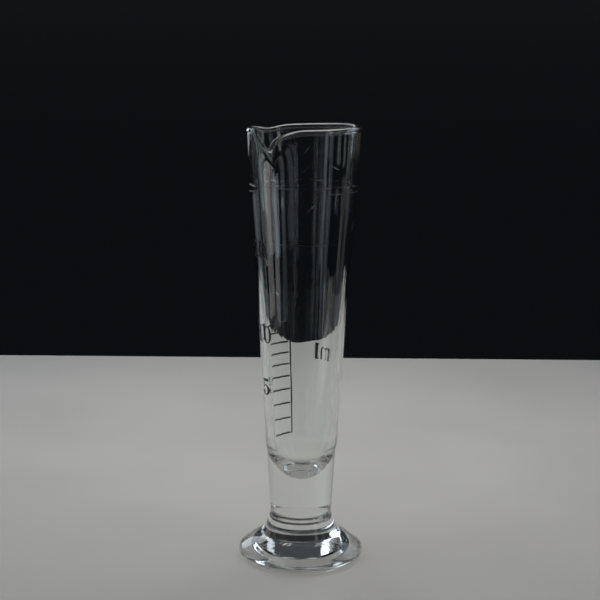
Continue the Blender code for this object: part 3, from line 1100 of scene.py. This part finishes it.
@dataclass
class EnamelPrint:
    """The fired-on scale. Each piece is laid flat first and then wrapped onto the bowl."""

    vessel: Vessel
    proud: float = 0.00004
    sunk: float = 0.00005
    letter_strip: float = 0.0004
    mark_strip: float = 0.0008
    upright_strip: float = 0.0020
    tallest_uncut: float = 0.0040
    edge_softness: float = 0.00004
    smooth_below: float = math.radians(40)
    pieces: list[bpy.types.Object] = field(default_factory=list)

    def wrap(self, obj: bpy.types.Object, start: float, middle: float) -> None:
        """Wraps a flat piece onto the outside of the bowl.

        Args:
            obj: The flat piece: X is the way round from its left edge, Y the height and Z
                the way out of the glass, all in metres.
            start: The angle of its left edge.
            middle: The height whose radius sets the piece's length round the bowl.
        """
        radius_here = self.vessel.outer_radius(middle)
        for vert in obj.data.vertices:
            turn = start + vert.co.x / radius_here
            outward = Vector((math.cos(turn), math.sin(turn), 0))
            turned = outward * self.vessel.outer_radius(vert.co.y) + Vector((0, 0, vert.co.y))
            vert.co = self.vessel.work_by_hand(turned) + outward * vert.co.z

    def bar(self, node: str) -> bpy.types.Object:
        """Lays one line or mark over the angles and heights of its CAD node.

        Args:
            node: The CAD node that it stands for.

        Returns:
            The finished bar.
        """
        low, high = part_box(node)
        start, end = angle_range(node)
        middle = (low.z + high.z) / 2
        length = (end - start) * self.vessel.outer_radius(middle)
        height = high.z - low.z
        deselect()
        centre = (length / 2, middle, (self.proud - self.sunk) / 2)
        bpy.ops.mesh.primitive_cube_add(size=1.0, location=centre)
        obj = bpy.context.object
        obj.name = obj.data.name = "enamel_" + node
        obj.scale = (length, height, self.proud + self.sunk)
        settle(obj)
        self.cut_strips(obj, length, 0, self.mark_strip)
        if height > self.tallest_uncut:
            self.cut_strips(obj, height, 1, self.upright_strip, low.z)
        soften_edges(obj, self.edge_softness, 2)
        self.wrap(obj, start, middle)
        return obj

    @staticmethod
    def cut_strips(obj: bpy.types.Object, length: float, axis: int, step: float, start: float = 0.0) -> None:
        """Cuts a flat piece across, so that it can bend.

        Args:
            obj: The piece.
            length: Its size along the axis.
            axis: 0 to cut along X and 1 to cut along Y.
            step: The widest strip that is left.
            start: Where the piece begins along the axis.
        """
        count = math.ceil(length / step)
        only(obj)
        bpy.ops.object.mode_set(mode="EDIT")
        for number in range(1, count):
            place = [0.0, 0.0, 0.0]
            normal = [0.0, 0.0, 0.0]
            place[axis] = start + length * number / count
            normal[axis] = 1.0
            bpy.ops.mesh.select_all(action="SELECT")
            bpy.ops.mesh.bisect(plane_co=place, plane_no=normal)
        bpy.ops.object.mode_set(mode="OBJECT")

    def letter(self, node: str, character: str) -> bpy.types.Object:
        """Lays one digit or letter over the angles and heights of its CAD node.

        Args:
            node: The CAD node that it stands for.
            character: Which outline it has.

        Returns:
            The finished letter.
        """
        low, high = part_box(node)
        start, end = angle_range(node)
        middle = (low.z + high.z) / 2
        length = (end - start) * self.vessel.outer_radius(middle)
        obj = self.flat_letter(node, character)
        xs = [vert.co.x for vert in obj.data.vertices]
        ys = [vert.co.y for vert in obj.data.vertices]
        for vert in obj.data.vertices:
            vert.co.x = length * (vert.co.x - min(xs)) / (max(xs) - min(xs))
            vert.co.y = low.z + (high.z - low.z) * (vert.co.y - min(ys)) / (max(ys) - min(ys))
            vert.co.z = self.proud if vert.co.z > 0 else -self.sunk
        self.cut_strips(obj, length, 0, self.letter_strip)
        self.wrap(obj, start, middle)
        return obj

    @staticmethod
    def flat_letter(node: str, character: str) -> bpy.types.Object:
        """Makes a flat letter with filled faces from its outline.

        Args:
            node: The CAD node that it stands for.
            character: Which outline it has.

        Returns:
            The letter as a mesh, X along the line and Y up, 1 high.
        """
        curve = bpy.data.curves.new("enamel_" + node, "CURVE")
        curve.dimensions = "2D"
        curve.fill_mode = "BOTH"
        curve.extrude = LETTER_THICKNESS
        curve.resolution_u = LETTER_STEPS
        for outline in GLYPHS[character]:
            spline = curve.splines.new("BEZIER")
            spline.bezier_points.add(len(outline) - 1)
            spline.use_cyclic_u = True
            for point, (x, y, handle) in zip(spline.bezier_points, outline):
                point.co = (x, y, 0.0)
                point.handle_left_type = handle.value
                point.handle_right_type = handle.value
        obj = bpy.data.objects.new("enamel_" + node, curve)
        bpy.context.scene.collection.objects.link(obj)
        only(obj)
        bpy.ops.object.convert(target="MESH")
        bpy.ops.object.mode_set(mode="EDIT")
        bpy.ops.mesh.select_all(action="SELECT")
        bpy.ops.mesh.remove_doubles(threshold=LETTER_MERGE_DISTANCE)
        bpy.ops.mesh.normals_make_consistent(inside=False)
        bpy.ops.object.mode_set(mode="OBJECT")
        return bpy.context.object

    def build(self) -> list[bpy.types.Object]:
        """Makes every piece of the scale that the frame has.

        Returns:
            The pieces, which are kept in self.pieces too.
        """
        for node in sorted(frame["nodes"]):
            if node == "scale_line" or node.startswith("mark_"):
                self.pieces.append(self.bar(node))
            elif node.startswith(("numeral_", "unit_letter_")):
                self.pieces.append(self.letter(node, node[-1]))
        return self.pieces

    def dress(self, marks: bpy.types.Material, letters: bpy.types.Material) -> None:
        """Gives each piece its enamel and its place in the frame.

        Args:
            marks: The finish of the lines and marks.
            letters: The finish of the digits and letters.
        """
        for obj in self.pieces:
            node = obj.name.removeprefix("enamel_")
            lettering = node.startswith(("numeral_", "unit_letter_"))
            make_outward(obj)
            obj.data.materials.clear()
            obj.data.materials.append(letters if lettering else marks)
            only(obj)
            bpy.ops.object.shade_smooth_by_angle(angle=self.smooth_below)
            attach(obj, ROOT_BODY)
            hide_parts(node)


def make_outward(obj: bpy.types.Object) -> None:
    """Turns a closed mesh right side out.

    Args:
        obj: The object whose mesh it is.
    """
    bm = bmesh.new()
    bm.from_mesh(obj.data)
    bmesh.ops.recalc_face_normals(bm, faces=bm.faces)
    if bm.calc_volume(signed=True) < 0:
        bmesh.ops.reverse_faces(bm, faces=bm.faces)
    bm.to_mesh(obj.data)
    bm.free()


# --- the studio ------------------------------------------------------------------------------


@dataclass(frozen=True)
class Softbox:
    """One upright soft light: its turn from the camera, how wide it looks, its height range and glow."""

    name: str
    turn: float
    spread: float
    bottom: float
    top: float
    glow: float
    colour: Tint
    distance: float = 0.8

    @property
    def width(self) -> float:
        """How wide the light is."""
        return self.distance * math.radians(self.spread)


COOL = (0.84, 0.92, 1.0)
NEUTRAL = (1.0, 0.98, 0.96)
WARM = (1.0, 0.84, 0.66)
LOW_TOP = -0.01
TALL_TOP = 0.70
HIGH_BOTTOM = 0.55
HIGH_TOP = 1.10
HIGH_DISTANCE = 0.45
TABLE_EDGE = 0.003


def low_light(
    name: str, turn: float, spread: float, bottom: float, glow: float, colour: Tint = COOL
) -> Softbox:
    """A light below the table top's level, mirrored in the bowl's front."""
    return Softbox("low_" + name, turn, spread, bottom, LOW_TOP, glow, colour)


def tall_light(
    name: str, turn: float, spread: float, bottom: float, glow: float, colour: Tint = COOL
) -> Softbox:
    """A light from near the rim's level up to well above the measure."""
    return Softbox(name, turn, spread, bottom, TALL_TOP, glow, colour)


def high_light(name: str, turn: float, spread: float, glow: float, colour: Tint = COOL) -> Softbox:
    """A light above the measure, nearer than the others."""
    return Softbox("high_" + name, turn, spread, HIGH_BOTTOM, HIGH_TOP, glow, colour, HIGH_DISTANCE)


@dataclass
class Studio:
    """A pale table top, plain soft light and the camera."""

    camera_turn: float = math.radians(303)
    camera_distance: float = 0.3945
    camera_height: float = 0.1455
    camera_pitch: float = math.radians(10)
    camera_yaw: float = math.radians(0.102)
    camera_roll: float = math.radians(0.46)
    lens: float = 84.36
    table_width: float = 0.52
    table_behind: float = 0.273
    table_before: float = 0.12
    table_thickness: float = 0.025
    pool_height: float = 0.45
    pool_behind: float = 0.12
    pool_size: float = 0.26
    pool_spread: float = math.radians(95)
    pool_glow: float = 1.6
    dark_below: Colour = (0.0035, 0.0042, 0.0052, 1.0)
    dark_above: Colour = (0.05, 0.055, 0.06, 1.0)
    softboxes: tuple[Softbox, ...] = (
        low_light("left_a", -15, 8, -0.15, 0.14),
        low_light("left_b", -26, 9, -0.15, 0.28),
        low_light("left_c", -44, 9, -0.16, 0.38),
        low_light("left_d", -64, 8, -0.16, 1.60),
        low_light("left_e", -84, 18, -0.14, 1.20, NEUTRAL),
        low_light("left_f", -103, 8, -0.14, 0.60),
        low_light("left_g", -131, 16, -0.13, 0.16),
        low_light("right_a", 26, 4, -0.17, 0.30),
        low_light("right_b", 37, 7, -0.36, 0.20),
        low_light("right_c", 47, 5, -0.18, 0.70),
        low_light("right_d", 58, 7, -0.36, 0.34),
        low_light("right_e", 96, 9, -0.16, 0.24, NEUTRAL),
        low_light("right_f", 112, 6, -0.14, 0.14, NEUTRAL),
        tall_light("side_right_a", 54, 9, 0.14, 1.40, NEUTRAL),
        tall_light("side_right_b", 78, 10, 0.12, 0.50),
        tall_light("side_right_c", 106, 12, 0.095, 1.20),
        tall_light("side_right_d", 124, 14, 0.083, 1.10),
        tall_light("side_left_a", -58, 14, 0.13, 0.20),
        tall_light("side_left_b", -90, 6, 0.11, 0.60),
        tall_light("side_left_c", -108, 9, 0.10, 0.50),
        tall_light("side_left_d", -128, 12, 0.083, 0.42),
        Softbox("back_left_low", -149, 10, 0.04, 0.08, 0.28, COOL),
        tall_light("back_left_high", -146, 15, 0.09, 2.40),
        Softbox("back_right_low", 147, 9, 0.04, 0.20, 0.08, WARM),
        tall_light("back_right_high", 137, 11, 0.26, 0.80),
        high_light("left", -75, 36, 1.60),
        high_light("back_right", 153, 24, 2.20, NEUTRAL),
    )

    def direction(self, turn: float) -> Vector:
        """The level direction at a turn from the camera's side, positive to its right."""
        angle = self.camera_turn + turn
        return Vector((math.cos(angle), math.sin(angle), 0.0))

    def build_camera(self) -> bpy.types.Object:
        """Makes the camera and hands it to the scene.

        Returns:
            The camera.
        """
        data = bpy.data.cameras.new("camera")
        data.lens = self.lens
        data.sensor_width = 36.0
        data.clip_start = 0.01
        data.clip_end = 20.0
        camera = bpy.data.objects.new("camera", data)
        bpy.context.scene.collection.objects.link(camera)
        place = self.direction(0.0) * self.camera_distance + Vector((0, 0, self.camera_height))
        heading = self.heading() + self.camera_yaw
        camera.matrix_world = (
            Matrix.Translation(place)
            @ Matrix.Rotation(heading, 4, "Z")
            @ Matrix.Rotation(math.pi / 2 - self.camera_pitch, 4, "X")
            @ Matrix.Rotation(self.camera_roll, 4, "Z")
        )
        bpy.context.scene.camera = camera
        return camera

    def heading(self) -> float:
        """The turn about the vertical that makes +Y point away from the camera."""
        return self.camera_turn + math.pi / 2

    def build_lights(self, table: bpy.types.Object) -> None:
        """Stands the softboxes round the object and hangs a pool of light over the table.

        Args:
            table: The only thing that the hanging light falls on.
        """
        for box in self.softboxes:
            place = self.direction(math.radians(box.turn)) * box.distance
            light = self._light(box.name, box.width, box.top - box.bottom, box.glow, box.colour)
            light.location = place + Vector((0, 0, (box.bottom + box.top) / 2))
            light.rotation_euler = (-place).to_track_quat("-Z", "Y").to_euler()
        pool = self._light("table_pool", self.pool_size, self.pool_size, self.pool_glow, NEUTRAL)
        pool.location = -self.direction(0.0) * self.pool_behind + Vector((0, 0, self.pool_height))
        pool.data.spread = self.pool_spread
        lit = bpy.data.collections.new("lit_by_pool")
        lit.objects.link(table)
        pool.light_linking.receiver_collection = lit
        pool.light_linking.blocker_collection = lit

    @staticmethod
    def _light(name: str, width: float, length: float, glow: float, colour: Tint) -> bpy.types.Object:
        """Makes one rectangular light, which the camera doesn't see directly.

        Args:
            name: The light's name.
            width: Its width.
            length: Its height, before it is turned.
            glow: How bright its face is.
            colour: The colour of its light.

        Returns:
            The light at the origin, facing down.
        """
        data = bpy.data.lights.new(name, "AREA")
        data.shape = "RECTANGLE"
        data.size = width
        data.size_y = length
        data.energy = glow * math.pi * width * length
        data.color = colour
        light = bpy.data.objects.new(name, data)
        bpy.context.scene.collection.objects.link(light)
        light.visible_camera = False
        return light

    def build_world(self) -> None:
        """Sets the dim plain surround that the glass is seen against."""
        world = bpy.data.worlds.new("surround")
        world.use_nodes = True
        graph = Graph(world.node_tree)
        back = world.node_tree.nodes["Background"]
        height = graph.split(graph.node("TexCoord").outputs["Generated"])[2]
        rise = graph.remap(height, -0.1, 0.9, 0.0, 1.0)
        graph.feed(back.inputs["Color"], graph.mix_colour(rise, self.dark_below, self.dark_above))
        back.inputs["Strength"].default_value = 1.0
        bpy.context.scene.world = world
        bpy.context.scene.view_settings.view_transform = "Standard"

    def build_table(self, finish: bpy.types.Material) -> bpy.types.Object:
        """Makes the table top, square to the camera, with softly rounded edges.

        Args:
            finish: Its material.

        Returns:
            The table top.
        """
        deselect()
        bpy.ops.mesh.primitive_cube_add(size=1.0, location=(0, 0, 0))
        table = bpy.context.object
        table.name = table.data.name = "table"
        depth = self.table_behind + self.table_before
        middle = (self.table_behind - self.table_before) / 2
        table.scale = (self.table_width, depth, self.table_thickness)
        table.rotation_euler = (0, 0, self.heading())
        table.location = -self.direction(0.0) * middle + Vector((0, 0, -self.table_thickness / 2))
        settle(table)
        soften_edges(table, TABLE_EDGE, 4)
        only(table)
        bpy.ops.object.shade_smooth_by_angle(angle=math.radians(30))
        table.data.materials.append(finish)
        return table


def report(step: str, build: Callable[[], object]) -> object:
    """Runs one building step and logs it.

    Args:
        step: What the step makes.
        build: The step.

    Returns:
        What the step returned.
    """
    made = build()
    LOG.info("%s", step)
    return made


def main() -> None:
    """Builds the measure and its studio, in order."""
    logging.basicConfig(level=logging.INFO, format="%(message)s")
    groups = SharedGroups()
    studio = Studio()
    report("camera", studio.build_camera)
    table = report("table", lambda: studio.build_table(PaleTop().build()))
    vessel = Vessel()
    body = vessel.build()
    vessel.dress(body, FusedGlass().build(groups))
    LOG.info("glass body: %d triangles", triangle_count(body))
    enamel = EnamelPrint(vessel)
    enamel.build()
    marks = FiredEnamel("scale_line_enamel")
    letters = FiredEnamel("numeral_enamel", dark=(0.014, 0.006, 0.005, 1.0), thin=(0.05, 0.018, 0.012, 1.0))
    enamel.dress(marks.build(groups), letters.build(groups))
    for piece in enamel.pieces:
        LOG.info("%s: %d triangles", piece.name, triangle_count(piece))
    report("lights", lambda: studio.build_lights(table))
    report("surround", studio.build_world)


if __name__ == "__main__":
    main()
